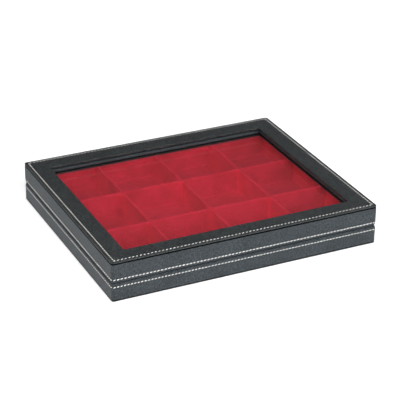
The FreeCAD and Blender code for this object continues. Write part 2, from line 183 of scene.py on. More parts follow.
def leatherette(name, dark, light, rough=0.46, spec=0.5, grain=1.0, cell=1300.0, mott=0.30):
    """Pebbled leatherette: rounded cells with painted shade in the creases between and a little painted highlight on
    the cell middles, each cell its own tone, faint cloudiness.
    """
    k = Mat(name)
    warp = k.add("ShaderNodeTexNoise")
    warp.inputs["Scale"].default_value = 420.0
    warp.inputs["Detail"].default_value = 2.0
    k.link(k.co, warp.inputs["Vector"])
    push = k.add("ShaderNodeVectorMath", operation="MULTIPLY_ADD")       # cells pushed out of shape
    push.inputs[1].default_value = (0.0009, 0.0009, 0.0009)
    k.link(warp.outputs["Color"], push.inputs[0])
    k.link(k.co, push.inputs[2])
    co = push.outputs[0]
    edge = k.voronoi(cell, "DISTANCE_TO_EDGE", co=co)
    tone = k.add("ShaderNodeTexVoronoi", feature="F1")
    tone.inputs["Scale"].default_value = cell
    k.link(co, tone.inputs["Vector"])
    part = k.add("ShaderNodeSeparateColor")
    k.link(tone.outputs["Color"], part.inputs[0])
    fine = k.noise(2600.0, 3.0, 0.65)
    cloud = k.noise(34.0, 4.0, 0.55)
    dome = k.ramp(edge, [(0.0, (0, 0, 0)), (0.10, (0.55, 0.55, 0.55)), (0.30, (1, 1, 1))])
    h = k.math("ADD", dome, k.math("MULTIPLY", fine, 0.30))
    h = k.math("ADD", h, k.math("MULTIPLY", part.outputs[1], 0.25))
    k.link(k.bump(h, 0.00020 * grain, 0.9), k.bsdf.inputs["Normal"])
    base = k.ramp(cloud, [(0.30, dark), (0.72, light)])
    # painted shade: the creases between cells are darkened and the cell middles lifted a little, following the bump
    crease_shade = k.ramp(edge, [(0.0, (0.62, 0.62, 0.62)), (0.16, (0.97, 0.97, 0.97)), (0.38, (1.08, 1.08, 1.08))])
    pebble = k.ramp(part.outputs[0], [(0.0, (0.80,) * 3), (0.5, (1.0,) * 3), (1.0, (1.22,) * 3)])
    mottle = k.ramp(k.noise(600.0, 2.0, 0.7), [(0.36, (1.0 - mott,) * 3), (0.5, (0.98,) * 3), (0.64, (1.0 + 1.2 * mott,) * 3)])
    tint = k.mix(1.0, k.mix(1.0, base, crease_shade, "MULTIPLY"), pebble, "MULTIPLY")
    k.link(k.mix(1.0, tint, mottle, "MULTIPLY"), k.bsdf.inputs["Base Color"])
    k.link(k.range(k.math("ADD", fine, k.math("MULTIPLY", cloud, 0.7)), rough - 0.08, rough + 0.10),
           k.bsdf.inputs["Roughness"])
    k.bsdf.inputs["Specular IOR Level"].default_value = spec
    return k.m


def velour(name, deep, lit, sheen=0.88, pile=1.0):
    """Flocked pile: short fibres, soft patches where the pile leans; painted shade darkens it down in the pockets, and
    painted light lifts the ridge tops and the faces turned left or up.
    """
    k = Mat(name)
    lean = k.noise(34.0, 3.0, 0.55)
    patch = k.noise(95.0, 3.0, 0.6)
    fibre = k.noise(3600.0, 2.0, 0.7)
    tuft = k.noise(1300.0, 2.0, 0.6)
    v = k.math("ADD", k.math("MULTIPLY", lean, 0.55), k.math("MULTIPLY", patch, 0.30))
    v = k.math("ADD", v, k.math("MULTIPLY", tuft, 0.15))
    col = k.ramp(v, [(0.34, deep), (0.64, lit)])
    pile_v = k.math("ADD", k.math("MULTIPLY", fibre, 0.5), k.math("MULTIPLY", tuft, 0.5))
    col = k.mix(1.0, col, k.ramp(pile_v, [(0.36, (0.66, 0.60, 0.62)), (0.50, (1.0, 1.0, 1.0)), (0.64, (1.24, 1.3, 1.28))]), "MULTIPLY")
    part = k.add("ShaderNodeSeparateXYZ")
    k.link(k.co, part.inputs[0])
    high = k.math("DIVIDE", k.math("SUBTRACT", part.outputs["Z"], Z_FLOOR * MM), (Z_TOP - Z_FLOOR) * MM)
    # painted shade: red darker towards the pocket floors, green and blue raised there; painted light: ridge tops a
    # little redder
    depth_shade = k.ramp(high, [(0.0, (0.84, 1.08, 1.04)), (0.45, (0.92, 1.0, 1.0)), (0.93, (1, 1, 1)), (1.0, (1.06, 0.95, 1.0))])
    normal_parts = k.add("ShaderNodeSeparateXYZ")          # painted light: faces turned left (-X) are made up to 28% lighter, upward faces up to 5%
    k.link(k.tc.outputs["Normal"], normal_parts.inputs[0])
    side_light_paint = k.math("MULTIPLY", k.math("MAXIMUM", k.math("MULTIPLY", normal_parts.outputs["X"], -1.0), 0.0), 0.28)
    side_light_paint = k.math("ADD", side_light_paint, k.math("MULTIPLY", k.math("MAXIMUM", normal_parts.outputs["Z"], 0.0), 0.05))
    side_light_paint = k.math("ADD", side_light_paint, 1.0)
    k.link(k.mix(1.0, k.mix(1.0, col, depth_shade, "MULTIPLY"), side_light_paint, "MULTIPLY"), k.bsdf.inputs["Base Color"])
    k.set(Roughness=0.92, Sheen_Weight=sheen, Sheen_Roughness=0.45)
    k.bsdf.inputs["Sheen Tint"].default_value = (1.0, 0.05, 0.085, 1)
    k.bsdf.inputs["Specular IOR Level"].default_value = 0.15
    h = k.math("ADD", fibre, k.math("MULTIPLY", tuft, 0.8))
    k.link(k.bump(h, 0.00016 * pile, 0.6), k.bsdf.inputs["Normal"])
    return k.m


def thread_mat(name):
    """Twisted thread: light cream with darker valleys and a few soiled stretches."""
    k = Mat(name)
    a = k.noise(900.0, 3.0, 0.6)
    b = k.noise(60.0, 2.0, 0.5)
    v = k.math("ADD", k.math("MULTIPLY", a, 0.5), k.math("MULTIPLY", b, 0.5))
    k.link(k.ramp(v, [(0.32, (0.80, 0.79, 0.75)), (0.55, (0.93, 0.92, 0.89)), (0.75, (0.97, 0.96, 0.94))]),
           k.bsdf.inputs["Base Color"])
    k.set(Roughness=0.62, Sheen_Weight=0.25, Sheen_Roughness=0.4)
    k.link(k.bump(k.noise(5200.0, 2.0, 0.6), 0.00006, 0.6), k.bsdf.inputs["Normal"])
    return k.m


def nickel_mat(name):
    k = Mat(name)
    s = k.add("ShaderNodeMapping")
    s.inputs["Scale"].default_value = (1.0, 14.0, 14.0)
    k.link(k.co, s.inputs["Vector"])
    brushed = k.noise(420.0, 4.0, 0.65, co=s.outputs[0])
    cloud = k.noise(120.0, 3.0, 0.5)
    k.link(k.ramp(cloud, [(0.3, (0.58, 0.57, 0.54)), (0.7, (0.74, 0.73, 0.70))]), k.bsdf.inputs["Base Color"])
    k.set(Metallic=1.0)
    k.link(k.range(brushed, 0.20, 0.42), k.bsdf.inputs["Roughness"])
    k.link(k.bump(brushed, 0.00002, 0.4), k.bsdf.inputs["Normal"])
    return k.m


def fibreboard_mat(name, dark=(0.20, 0.135, 0.08), light=(0.34, 0.24, 0.15)):
    k = Mat(name)
    fibre = k.add("ShaderNodeMapping")
    fibre.inputs["Scale"].default_value = (1.0, 1.0, 3.0)
    k.link(k.co, fibre.inputs["Vector"])
    a = k.noise(900.0, 5.0, 0.7, co=fibre.outputs[0])
    b = k.noise(70.0, 3.0, 0.5)
    v = k.math("ADD", k.math("MULTIPLY", a, 0.7), k.math("MULTIPLY", b, 0.3))
    k.link(k.ramp(v, [(0.35, dark), (0.65, light)]), k.bsdf.inputs["Base Color"])
    k.set(Roughness=0.85)
    k.link(k.bump(a, 0.0001, 0.5), k.bsdf.inputs["Normal"])
    return k.m


def felt_mat(name):
    k = Mat(name)
    a = k.noise(1500.0, 5.0, 0.75, distortion=1.2)
    b = k.noise(90.0, 3.0, 0.5)
    v = k.math("ADD", k.math("MULTIPLY", a, 0.65), k.math("MULTIPLY", b, 0.35))
    k.link(k.ramp(v, [(0.35, (0.010, 0.010, 0.011)), (0.62, (0.040, 0.040, 0.043))]), k.bsdf.inputs["Base Color"])
    k.set(Roughness=0.95, Sheen_Weight=0.35, Sheen_Roughness=0.5)
    k.bsdf.inputs["Specular IOR Level"].default_value = 0.1
    k.link(k.bump(a, 0.0003, 0.7), k.bsdf.inputs["Normal"])
    return k.m


def pane_mat(name):
    """Clear pane. Lamps and soft light pass straight through; the eye sees it bend and mirror."""
    k = Mat(name)
    haze = k.noise(55.0, 3.0, 0.5)
    k.link(k.ramp(haze, [(0.3, (0.955, 0.965, 0.965)), (0.7, (0.985, 0.99, 0.99))]), k.bsdf.inputs["Base Color"])
    k.set(Roughness=0.02, IOR=1.49)
    k.bsdf.inputs["Specular IOR Level"].default_value = 0.02
    k.bsdf.inputs["Transmission Weight"].default_value = 0.988      # the rest is a faint milky haze
    tr = k.add("ShaderNodeBsdfTransparent")
    tr.inputs["Color"].default_value = (0.90, 0.91, 0.91, 1)
    lp = k.add("ShaderNodeLightPath")
    m = k.add("ShaderNodeMixShader")
    f = k.math("MAXIMUM", lp.outputs["Is Shadow Ray"], lp.outputs["Is Diffuse Ray"])
    k.link(f, m.inputs[0])
    k.link(k.bsdf.outputs[0], m.inputs[1])
    k.link(tr.outputs[0], m.inputs[2])
    k.link(m.outputs[0], k.out.inputs["Surface"])
    return k.m


M_COVER = leatherette("leatherette_cover", (0.0447, 0.0541, 0.0603), (0.0614, 0.0728, 0.0811), rough=0.36, spec=0.16, mott=0.48)
# painted shade: the top's copy of the leatherette is darker than the covering's, matched to how dark the top reads
M_TOP = leatherette("leatherette_top", (0.0403, 0.0466, 0.0477), (0.0551, 0.0625, 0.0647), rough=0.34, spec=0.42, cell=1200.0, mott=0.78)
# painted light: the window bead's copy of the leatherette is lighter and bluer than the covering's, matched to how
# bright the bead reads
M_LINER = leatherette("leatherette_liner", (0.046, 0.063, 0.073), (0.066, 0.089, 0.102), rough=0.30, spec=0.7)
M_STRIP = leatherette("black_strip", (0.002, 0.002, 0.002), (0.004, 0.004, 0.004), rough=0.75, spec=0.08)
# painted shade: a near-black copy of the leatherette, laid where the groove under the panel and the base's bottom edge
# lie in shade
M_GROOVE_SHADE = leatherette("painted_groove_shade", (0.002, 0.002, 0.002), (0.004, 0.004, 0.004), rough=0.7, spec=0.08)
M_VELOUR = velour("velour_red", (0.630, 0.0115, 0.032), (0.865, 0.0215, 0.062))
M_THREAD = thread_mat("thread_cream")
M_NICKEL = nickel_mat("nickel")
M_BOARD = fibreboard_mat("fibreboard")
M_GREY = fibreboard_mat("greyboard", (0.20, 0.195, 0.185), (0.34, 0.33, 0.31))
M_FELT = felt_mat("felt_black")
M_PANE = pane_mat("pane_clear")
M_MAGNET = nickel_mat("magnet_nickel")


def give(name, mat, bevel=0.0, angle=35.0, segs=2):
    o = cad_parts[name]
    o.data.materials.clear()
    o.data.materials.append(mat)
    for p in o.data.polygons:
        p.material_index = 0
    if bevel > 0:
        b = o.modifiers.new("edge", "BEVEL")
        b.width = bevel * MM
        b.segments = segs
        b.limit_method = "ANGLE"
        b.angle_limit = math.radians(angle)
    return o


for n in ("base_cover", "lid_side_cover"):
    give(n, M_COVER)
give("lid_top_cover", M_TOP)
for s in ("front", "back", "left", "right"):
    give("pane_strip_" + s, M_STRIP, 0.25)
    give("base_%s_wall" % s, M_BOARD)
    give("lid_%s_wall" % s, M_BOARD)
give("base_bottom_panel", M_BOARD)
give("lid_top_board", M_GREY)
give("window_pane", M_PANE)
for n in ("base_hinge_leaves", "lid_hinge_leaves"):
    give(n, M_NICKEL, 0.12, 40.0)
for n in ("hinge_pins", "base_hinge_screws", "lid_hinge_screws"):
    give(n, M_NICKEL)
give("closure_magnets", M_MAGNET, 0.2)
give("closure_plates", M_MAGNET, 0.15)


# ------------------------------------------------------------------ mesh helpers
def make_object(name, verts, faces, mat, smooth=True):
    me = bpy.data.meshes.new(name)
    me.from_pydata([tuple(c * MM for c in v) for v in verts], [], faces)
    me.materials.append(mat)
    if smooth:
        for p in me.polygons:
            p.use_smooth = True
    me.update()
    o = bpy.data.objects.new(name, me)
    scene.collection.objects.link(o)
    return o


def clean(o, dist=1e-5):
    bm = bmesh.new()
    bm.from_mesh(o.data)
    bmesh.ops.remove_doubles(bm, verts=bm.verts, dist=dist)
    bmesh.ops.recalc_face_normals(bm, faces=bm.faces)
    bm.to_mesh(o.data)
    bm.free()
    return o


# ------------------------------------------------------------------ coin insert
KC = 6          # points on each corner arc
NS = 14         # points on each straight side


def pocket_loop(cx, cy, hx, hy, r, z, sharp=False):
    """Rounded rectangle, or the sharp one that its corner rays meet."""
    pts = []
    corners = ((1, -1, -90.0), (1, 1, 0.0), (-1, 1, 90.0), (-1, -1, 180.0))
    for sx, sy, a0 in corners:
        ax, ay = cx + sx * (hx - r), cy + sy * (hy - r)
        for i in range(KC + 1):
            a = math.radians(a0 + 90.0 * i / KC)
            c, s = math.cos(a), math.sin(a)
            if sharp:
                m = max(abs(c), abs(s))
                c, s = c / m, s / m
            pts.append((ax + r * c, ay + r * s, z))
        nx, ny = pts[-1][0], pts[-1][1]
        j = (corners.index((sx, sy, a0)) + 1) % 4
        sx2, sy2, a2 = corners[j]
        bx, by = cx + sx2 * (hx - r), cy + sy2 * (hy - r)
        a = math.radians(a2)
        ex, ey = bx + r * math.cos(a), by + r * math.sin(a)
        for i in range(1, NS):
            t = i / NS
            pts.append((nx + (ex - nx) * t, ny + (ey - ny) * t, z))
    return pts


def insert_piece():
    verts, faces = [], []

    def add_loop(pts):
        i0 = len(verts)
        verts.extend(pts)
        return list(range(i0, i0 + len(pts)))

    def bridge(a, b):
        n = len(a)
        for i in range(n):
            j = (i + 1) % n
            faces.append((a[i], a[j], b[j], b[i]))

    px, py = (PITCH_X - RIDGE) / 2, (PITCH_Y - RIDGE) / 2
    rc = 2.6
    # section from the middle of a ridge down to the pocket floor: (offset, height)
    sec = [(0.72 * RIDGE / 2, Z_TOP - 0.05)]
    rr = 1.15
    for i in range(1, 6):
        a = math.radians(90.0 * i / 6)
        sec.append((rr * (1 - math.sin(a)) * 0.80, Z_TOP - 0.05 - rr * (1 - math.cos(a))))
    z_w0, z_w1 = Z_TOP - 0.05 - rr, Z_FLOOR + 1.5
    for i in range(0, 9):
        t = i / 8.0
        z = z_w0 + (z_w1 - z_w0) * t
        sec.append((-DRAFT * (Z_TOP - z) / (Z_TOP - Z_FLOOR), z))
    o1 = sec[-1][0]
    for i in range(1, 6):
        a = math.radians(90.0 * i / 5)
        sec.append((o1 - 1.5 * (1 - math.cos(a)), Z_FLOOR + 1.5 * (1 - math.sin(a))))
    floor_insets = [3.6, 7.0, 12.0, 18.0, 25.0]
    for j in range(ROWS):
        for i in range(COLS):
            cx, cy = (i - (COLS - 1) / 2) * PITCH_X, (j - (ROWS - 1) / 2) * PITCH_Y
            prev = add_loop(pocket_loop(cx, cy, PITCH_X / 2, PITCH_Y / 2, rc + RIDGE / 2, Z_TOP, True))
            for o, z in sec:
                cur = add_loop(pocket_loop(cx, cy, px + o, py + o, max(rc + o, 0.9), z))
                bridge(prev, cur)
                prev = cur
            for f in floor_insets:
                cur = add_loop(pocket_loop(cx, cy, px + o1 - 1.5 - f, py + o1 - 1.5 - f, 1.0, Z_FLOOR))
                bridge(prev, cur)
                prev = cur
            faces.append(tuple(prev))
    # outside: from the outermost cell edge over the rim and down the side
    bx, by = PITCH_X * COLS / 2, PITCH_Y * ROWS / 2
    r0 = rc + RIDGE / 2
    edge = []

    def side_params(n_cells, pitch, half):
        out = []
        for c in range(n_cells):
            c0 = (c - (n_cells - 1) / 2) * pitch
            a = pitch / 2 - r0
            for k in range(KC // 2, 0, -1):
                out.append(c0 - a - r0 * math.tan(math.radians(90.0 * k / KC)))
            for t in range(NS + 1):
                out.append(c0 - a + 2 * a * t / NS)
            for k in range(1, KC // 2 + 1):
                out.append(c0 + a + r0 * math.tan(math.radians(90.0 * k / KC)))
        res = []
        for v in out:
            if not res or abs(v - res[-1]) > 1e-4:
                res.append(v)
        return res

    xs = side_params(COLS, PITCH_X, bx)
    ys = side_params(ROWS, PITCH_Y, by)
    for x in xs[:-1]:
        edge.append((x, -by))
    for y in ys[:-1]:
        edge.append((bx, y))
    for x in xs[::-1][:-1]:
        edge.append((x, by))
    for y in ys[::-1][:-1]:
        edge.append((-bx, y))

    def outer(hx, hy, r, z):
        pts = []
        for x, y in edge:
            cxn, cyn = bx - r0, by - r0
            if abs(x) > cxn + 1e-6 and abs(y) > cyn + 1e-6:
                sx, sy = math.copysign(1, x), math.copysign(1, y)
                a = math.atan2(abs(y) - cyn, abs(x) - cxn)
                pts.append((sx * (hx - r + r * math.cos(a)), sy * (hy - r + r * math.sin(a)), z))
            elif abs(abs(x) - bx) < 1e-6:
                pts.append((math.copysign(hx, x), y * (hy - r) / cyn, z))
            else:
                pts.append((x * (hx - r) / cxn, math.copysign(hy, y), z))
        return pts

    prev = add_loop([(x, y, Z_TOP) for x, y in edge])
    rim = [(1.9, Z_TOP - 0.02)]
    for i in range(0, 7):
        a = math.radians(90.0 * i / 6)
        rim.append((1.3 * (1 - math.sin(a)), Z_TOP - 0.02 - 1.3 * (1 - math.cos(a))))
    for z in (26.0, 20.0, 12.0, 5.0, 4.2):
        rim.append((0.0, z))
    rim += [(0.25, 3.8), (0.7, 3.6), (6.0, 3.6), (30.0, 3.6), (80.0, 3.6)]
    for o, z in rim:
        r = max(3.0 - o, 0.6)
        cur = add_loop(outer(INX - o, INY - o, r, z))
        bridge(cur, prev)
        prev = cur
    faces.append(tuple(prev))
    # the moulding isn't perfectly true: low undulation of ridges, slight bow of walls
    out = []
    for x, y, z in verts:
        if z > Z_LOW + 0.01:
            w = min(1.0, max(0.0, (z - Z_FLOOR) / 12.0))
            n1 = noise.noise(Vector((x * 0.030, y * 0.030, 3.1)))
            n2 = noise.noise(Vector((x * 0.11, y * 0.11, 8.7)))
            z2 = z - w * 0.16 * (0.5 + 0.5 * n1) - w * 0.05 * (n2 + 0.5)
            bx_ = noise.noise(Vector((x * 0.05 + 11.0, y * 0.05, z * 0.06)))
            by_ = noise.noise(Vector((x * 0.05, y * 0.05 + 17.0, z * 0.06)))
            inner = 1.0 if abs(x) < INX - 2.2 and abs(y) < INY - 2.2 else 0.0
            k = 0.16 * inner * (1.0 if z > Z_FLOOR + 0.3 else 0.0)
            out.append((x + bx_ * k, y + by_ * k, z2))
        else:
            out.append((x, y, z))
    o = make_object("flocked_insert", out, faces, M_VELOUR)
    clean(o, 2e-6)
    return o


insert = insert_piece()
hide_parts("coin_insert")
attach(insert, "base")


# ------------------------------------------------------------------ covering and stitching
def loop_params(hx, hy, r, step, arc_n):
    """Evenly spaced stations round a rounded rectangle, from its front left corner, with arc lengths."""
    out = []
    s = 0.0
    sides = (2 * (hx - r), 2 * (hy - r), 2 * (hx - r), 2 * (hy - r))
    for q, length in enumerate(sides):
        n = max(2, round(length / step))
        for i in range(n):
            out.append(("L", q, i / n, s + length * i / n))
        s += length
        arc = math.pi / 2 * r
        for i in range(arc_n):
            out.append(("A", q, i / arc_n, s + arc * i / arc_n))
        s += arc
    return out, s


SIDE_N = ((0.0, -1.0), (1.0, 0.0), (0.0, 1.0), (-1.0, 0.0))
SIDE_T = ((1.0, 0.0), (0.0, 1.0), (-1.0, 0.0), (0.0, -1.0))
CORNER = ((1, -1), (1, 1), (-1, 1), (-1, -1))


def station(hx, hy, r, par, n, grow=1.0):
    """Point and outward normal at a station, moved in by n. grow is how fast the corners open outside the loop."""
    kind, q, t, _ = par
    rn = max(r - n, 0.0) if n >= 0 else r - n * grow
    ax, ay = hx - n - rn, hy - n - rn
    if kind == "L":
        nx, ny = SIDE_N[q]
        tx, ty = SIDE_T[q]
        half = ax if q % 2 == 0 else ay
        off = (ay if q % 2 == 0 else ax) + rn
        u = (2 * t - 1) * half
        return nx * off + tx * u, ny * off + ty * u, nx, ny
    sx, sy = CORNER[q]
    a = math.radians(-90.0 + 90.0 * q + 90.0 * t)
    c, d = math.cos(a), math.sin(a)
    return sx * ax + rn * c, sy * ay + rn * d, c, d


def arc_pts(cn, cz, r, a0, a1, k, rz=None):
    rz = r if rz is None else rz
    return [(cn + r * math.cos(math.radians(a0 + (a1 - a0) * i / k)),
             cz + rz * math.sin(math.radians(a0 + (a1 - a0) * i / k))) for i in range(k + 1)]


def run(p, q, k):
    return [(p[0] + (q[0] - p[0]) * i / k, p[1] + (q[1] - p[1]) * i / k) for i in range(k + 1)]


def graded(lo, hi, centre, fine, coarse):
    """Heights from lo to hi, fine near centre and coarse away from it."""
    v, out = lo, [lo]
    while v < hi - 1e-6:
        d = abs(v - centre)
        v = min(hi, v + (fine if d < 1.6 else fine * 2 if d < 2.8 else coarse))
        out.append(v)
    if len(out) > 2 and out[-1] - out[-2] < fine * 0.5:
        out.pop(-2)
    return out


def dedupe(pts):
    out = []
    for p in pts:
        if not out or math.dist(p, out[-1]) > 1e-4:
            out.append(p)
    return out


def pucker(dp, s, pitch):
    """How far the covering is pulled in beside and between stitches, in mm."""
    k = s / pitch
    at_hole = 0.5 - 0.5 * math.cos(2 * math.pi * k)      # 1 half way between stitch middles
    groove = -0.10 * math.exp(-(dp / 0.62) ** 2)
    hole = -0.20 * at_hole ** 3 * math.exp(-(dp / 0.50) ** 2)
    swell = 0.05 * math.exp(-((abs(dp) - 1.45) / 0.65) ** 2) * (0.75 - 0.5 * at_hole)
    return groove + hole + swell


def sweep(name, hx, hy, r, outer, inner, mat, step, arc_n, stitch_at=None, stitch_is="z", pitch=3.7,
          wave=0.05, seed=0.0, after=None, grow=1.0, shade_band=None):
    """A closed profile run round the case. outer is the finished face, inner the hidden return."""
    pars, length = loop_params(hx, hy, r, step, arc_n)
    profile = outer + inner
    m = len(profile)
    verts, faces = [], []
    count = round(length / pitch)
    p_eff = length / count
    # in-plane normals of the finished face
    nrm = []
    for i in range(len(outer)):
        a = outer[max(i - 1, 0)]
        b = outer[min(i + 1, len(outer) - 1)]
        dn, dz = b[0] - a[0], b[1] - a[1]
        l = math.hypot(dn, dz) or 1.0
        nrm.append((dz / l, -dn / l))
    flip = 1.0
    for par in pars:
        for i, (n, z) in enumerate(profile):
            x, y, nx, ny = station(hx, hy, r, par, n, grow)
            d = 0.0
            if i < len(outer):
                on, oz = nrm[i]
                if stitch_at is not None:
                    dp = (z if stitch_is == "z" else n) - stitch_at
                    face = abs(on) if stitch_is == "z" else abs(oz)
                    if abs(dp) < 3.2 and face > 0.9:
                        ok = (n < 1.0) if stitch_is == "z" else (z > H - 0.5)
                        if ok:
                            d += pucker(dp, par[3], p_eff)
                if 0 < i < len(outer) - 1:
                    d += wave * noise.noise(Vector((x * 0.045, y * 0.045, z * 0.09 + seed)))
                    d += wave * 0.35 * noise.noise(Vector((x * 0.16, y * 0.16, z * 0.2 + seed + 9.0)))
                # on is the share along -n (outwards)
                x += -on * flip * d * nx * -1.0
                y += -on * flip * d * ny * -1.0
                z = z + oz * flip * d
            if after:
                x, y, z = after(x, y, z)
            verts.append((x, y, z))
    k = len(pars)
    for j in range(k):
        j2 = (j + 1) % k
        for i in range(m):
            i2 = (i + 1) % m
            faces.append((j * m + i, j * m + i2, j2 * m + i2, j2 * m + i))
    o = make_object(name, verts, faces, mat)
    # painted shade: faces inside the given band get the near-black shade material
    if shade_band:
        o.data.materials.append(M_GROOVE_SHADE)
        shaded_faces = [shade_band(*profile[i]) and shade_band(*profile[(i + 1) % m]) for i in range(m)]
        for j, p in enumerate(o.data.polygons):
            if shaded_faces[j % m]:
                p.material_index = 1
    bm = bmesh.new()
    bm.from_mesh(o.data)
    bmesh.ops.remove_doubles(bm, verts=bm.verts, dist=4e-6)
    bmesh.ops.recalc_face_normals(bm, faces=bm.faces)
    bm.to_mesh(o.data)
    bm.free()
    return o, p_eff


def leaf_recess(top, sign):
    """Lets the hinge leaves and barrels into a rim."""
    def f(x, y, z):
        for xc in HINGE_X:
            if abs(x - xc) < 13.35 and y > 118.9:
                if (z - (top - 0.8 * sign)) * sign > 0:
                    z = top - 0.83 * sign
            if abs(x - xc) < 13.8:
                dy, dz = y - HINGE_Y, z - HINGE_Z
                l = math.hypot(dy, dz)
                if l < 1.66:
                    if l < 1e-6:
                        dy, dz, l = 0.0, -sign, 1.0
                    y, z = HINGE_Y + dy / l * 1.66, HINGE_Z + dz / l * 1.66
        return x, y, z
    return f


# covering of the base, from inside the tray over the rim and down to the foot
o_ = run((N_IN, Z_LOW), (N_IN, Z_BASE_TOP - 0.8), 12)
o_ += arc_pts(N_IN - 0.8, Z_BASE_TOP - 0.8, 0.8, 0, 90, 5)
o_ += run((N_IN - 0.8, Z_BASE_TOP), (2.5, Z_BASE_TOP), 6)
o_ += arc_pts(2.5, Z_BASE_TOP - 2.5, 2.5, 90, 180, 9)
o_ += [(0.0, z) for z in graded(1.9, Z_BASE_TOP - 2.5, Z_STITCH_BASE, 0.26, 1.2)[::-1]] + [(0.0, 1.5)]
o_ += arc_pts(0.7, 1.1, 0.7, 180, 270, 6)
o_ += run((0.7, 0.4), (9.1, 0.4), 4)
i_ = [(9.1, 1.0), (1.6, 1.0), (0.82, 1.8), (0.82, 16.5), (2.2, Z_BASE_TOP - 0.62), (N_WALL_IN - 0.1, Z_BASE_TOP - 0.62),
      (N_WALL_IN, 15.0), (N_WALL_IN, Z_LOW)]
# painted shade: the band round the bottom edge, below z 1.95, gets the near-black shade material
base_cover, P_BASE = sweep("base_leatherette", HX, HY, R_VERT, dedupe(o_), i_, M_COVER, 3.67 / 6, 9,
                           stitch_at=Z_STITCH_BASE, pitch=3.67, seed=1.0, after=leaf_recess(Z_BASE_TOP, 1.0),
                           shade_band=lambda n, z: z < 1.95)
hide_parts("base_cover")
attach(base_cover, "base")

# covering of the lid's sides, from the pane down, over the rim and up to the neck
o_ = run((N_IN, 33.8), (N_IN, Z_LID_BOTTOM + 0.8), 6)
o_ += arc_pts(N_IN - 0.8, Z_LID_BOTTOM + 0.8, 0.8, 0, -90, 5)
o_ += run((N_IN - 0.8, Z_LID_BOTTOM), (2.5, Z_LID_BOTTOM), 6)
o_ += arc_pts(2.5, Z_LID_BOTTOM + 2.5, 2.5, 270, 180, 9)
o_ += [(0.0, z) for z in graded(Z_LID_BOTTOM + 2.5, Z_SHOULDER - 0.5, Z_STITCH_LID, 0.26, 1.3)]
o_ += arc_pts(0.5, Z_SHOULDER - 0.5, 0.5, 180, 90, 5)
o_ += run((0.5, Z_SHOULDER), (3.0, Z_SHOULDER), 3)
i_ = [(N_WALL_IN - 0.1, Z_SHOULDER), (N_WALL_IN - 0.1, Z_SHOULDER - 0.58), (0.82, Z_SHOULDER - 0.62), (0.82, 24.0),
      (2.2, Z_LID_BOTTOM + 0.62), (N_WALL_IN - 0.1, Z_LID_BOTTOM + 0.62), (N_WALL_IN, 24.0), (N_WALL_IN, 33.8)]
# painted shade: the shoulder's top, in the groove under the panel, gets the near-black shade material
lid_cover, P_LID = sweep("lid_leatherette", HX, HY, R_VERT, dedupe(o_), i_, M_COVER, 3.92 / 6, 9,
                         stitch_at=Z_STITCH_LID, pitch=3.92, seed=5.0, after=leaf_recess(Z_LID_BOTTOM, -1.0),
                         shade_band=lambda n, z: z > Z_SHOULDER - 0.25 and n > 0.02)
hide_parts("lid_side_cover")
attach(lid_cover, "lid")

# covering of the top panel, from under its outer edge over the top and round the window edge
SX, SY = HX - STITCH_INSET, HY - STITCH_INSET
R_ST = 0.8


def m_(n):
    return n - STITCH_INSET


o_ = run((m_(N_GROOVE), Z_SHOULDER), (m_(N_GROOVE), Z_PANEL_LOW), 2)
o_ += run((m_(N_GROOVE), Z_PANEL_LOW), (m_(0.35), Z_PANEL_LOW), 2)
o_ += arc_pts(m_(0.35), Z_PANEL_LOW + 0.35, 0.35, 270, 180, 5)
o_ += arc_pts(m_(0.36), H - 0.36, 0.36, 180, 90, 8)
o_ += [(m_(v), H) for v in graded(0.36, N_WINDOW - 0.9, STITCH_INSET, 0.26, 1.5)]
o_ += arc_pts(m_(N_WINDOW - 0.9), H - 0.9, 0.9, 90, 0, 7)
o_ += run((m_(N_WINDOW), H - 0.9), (m_(N_WINDOW), Z_SHOULDER + 0.4), 3)
o_ += arc_pts(m_(N_WINDOW - 0.4), Z_SHOULDER + 0.4, 0.4, 0, -90, 3)
o_ += run((m_(N_WINDOW - 0.4), Z_SHOULDER), (m_(15.0), Z_SHOULDER), 4)
i_ = [(m_(15.0), Z_SHOULDER + 0.38), (m_(N_WINDOW - 0.72), Z_SHOULDER + 0.42), (m_(N_WINDOW - 0.72), H - 0.7),
      (m_(1.2), H - 0.40), (m_(0.62), H - 0.80), (m_(0.9), Z_PANEL_LOW + 0.36), (m_(N_GROOVE + 0.4), Z_PANEL_LOW + 0.34),
      (m_(N_GROOVE + 0.4), Z_SHOULDER)]
# painted shade: the panel's underside, in the groove, gets the near-black shade material
top_cover, P_TOP = sweep("top_leatherette", SX, SY, R_ST, dedupe(o_), i_, M_TOP, 4.01 / 6, 7,
                         stitch_at=0.0, stitch_is="n", pitch=4.01, seed=9.0, grow=(R_VERT - R_ST) / STITCH_INSET,
                         shade_band=lambda n, z: z < Z_PANEL_LOW + 0.02 and n < m_(N_GROOVE) + 0.01)
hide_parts("lid_top_cover")
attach(top_cover, "lid")


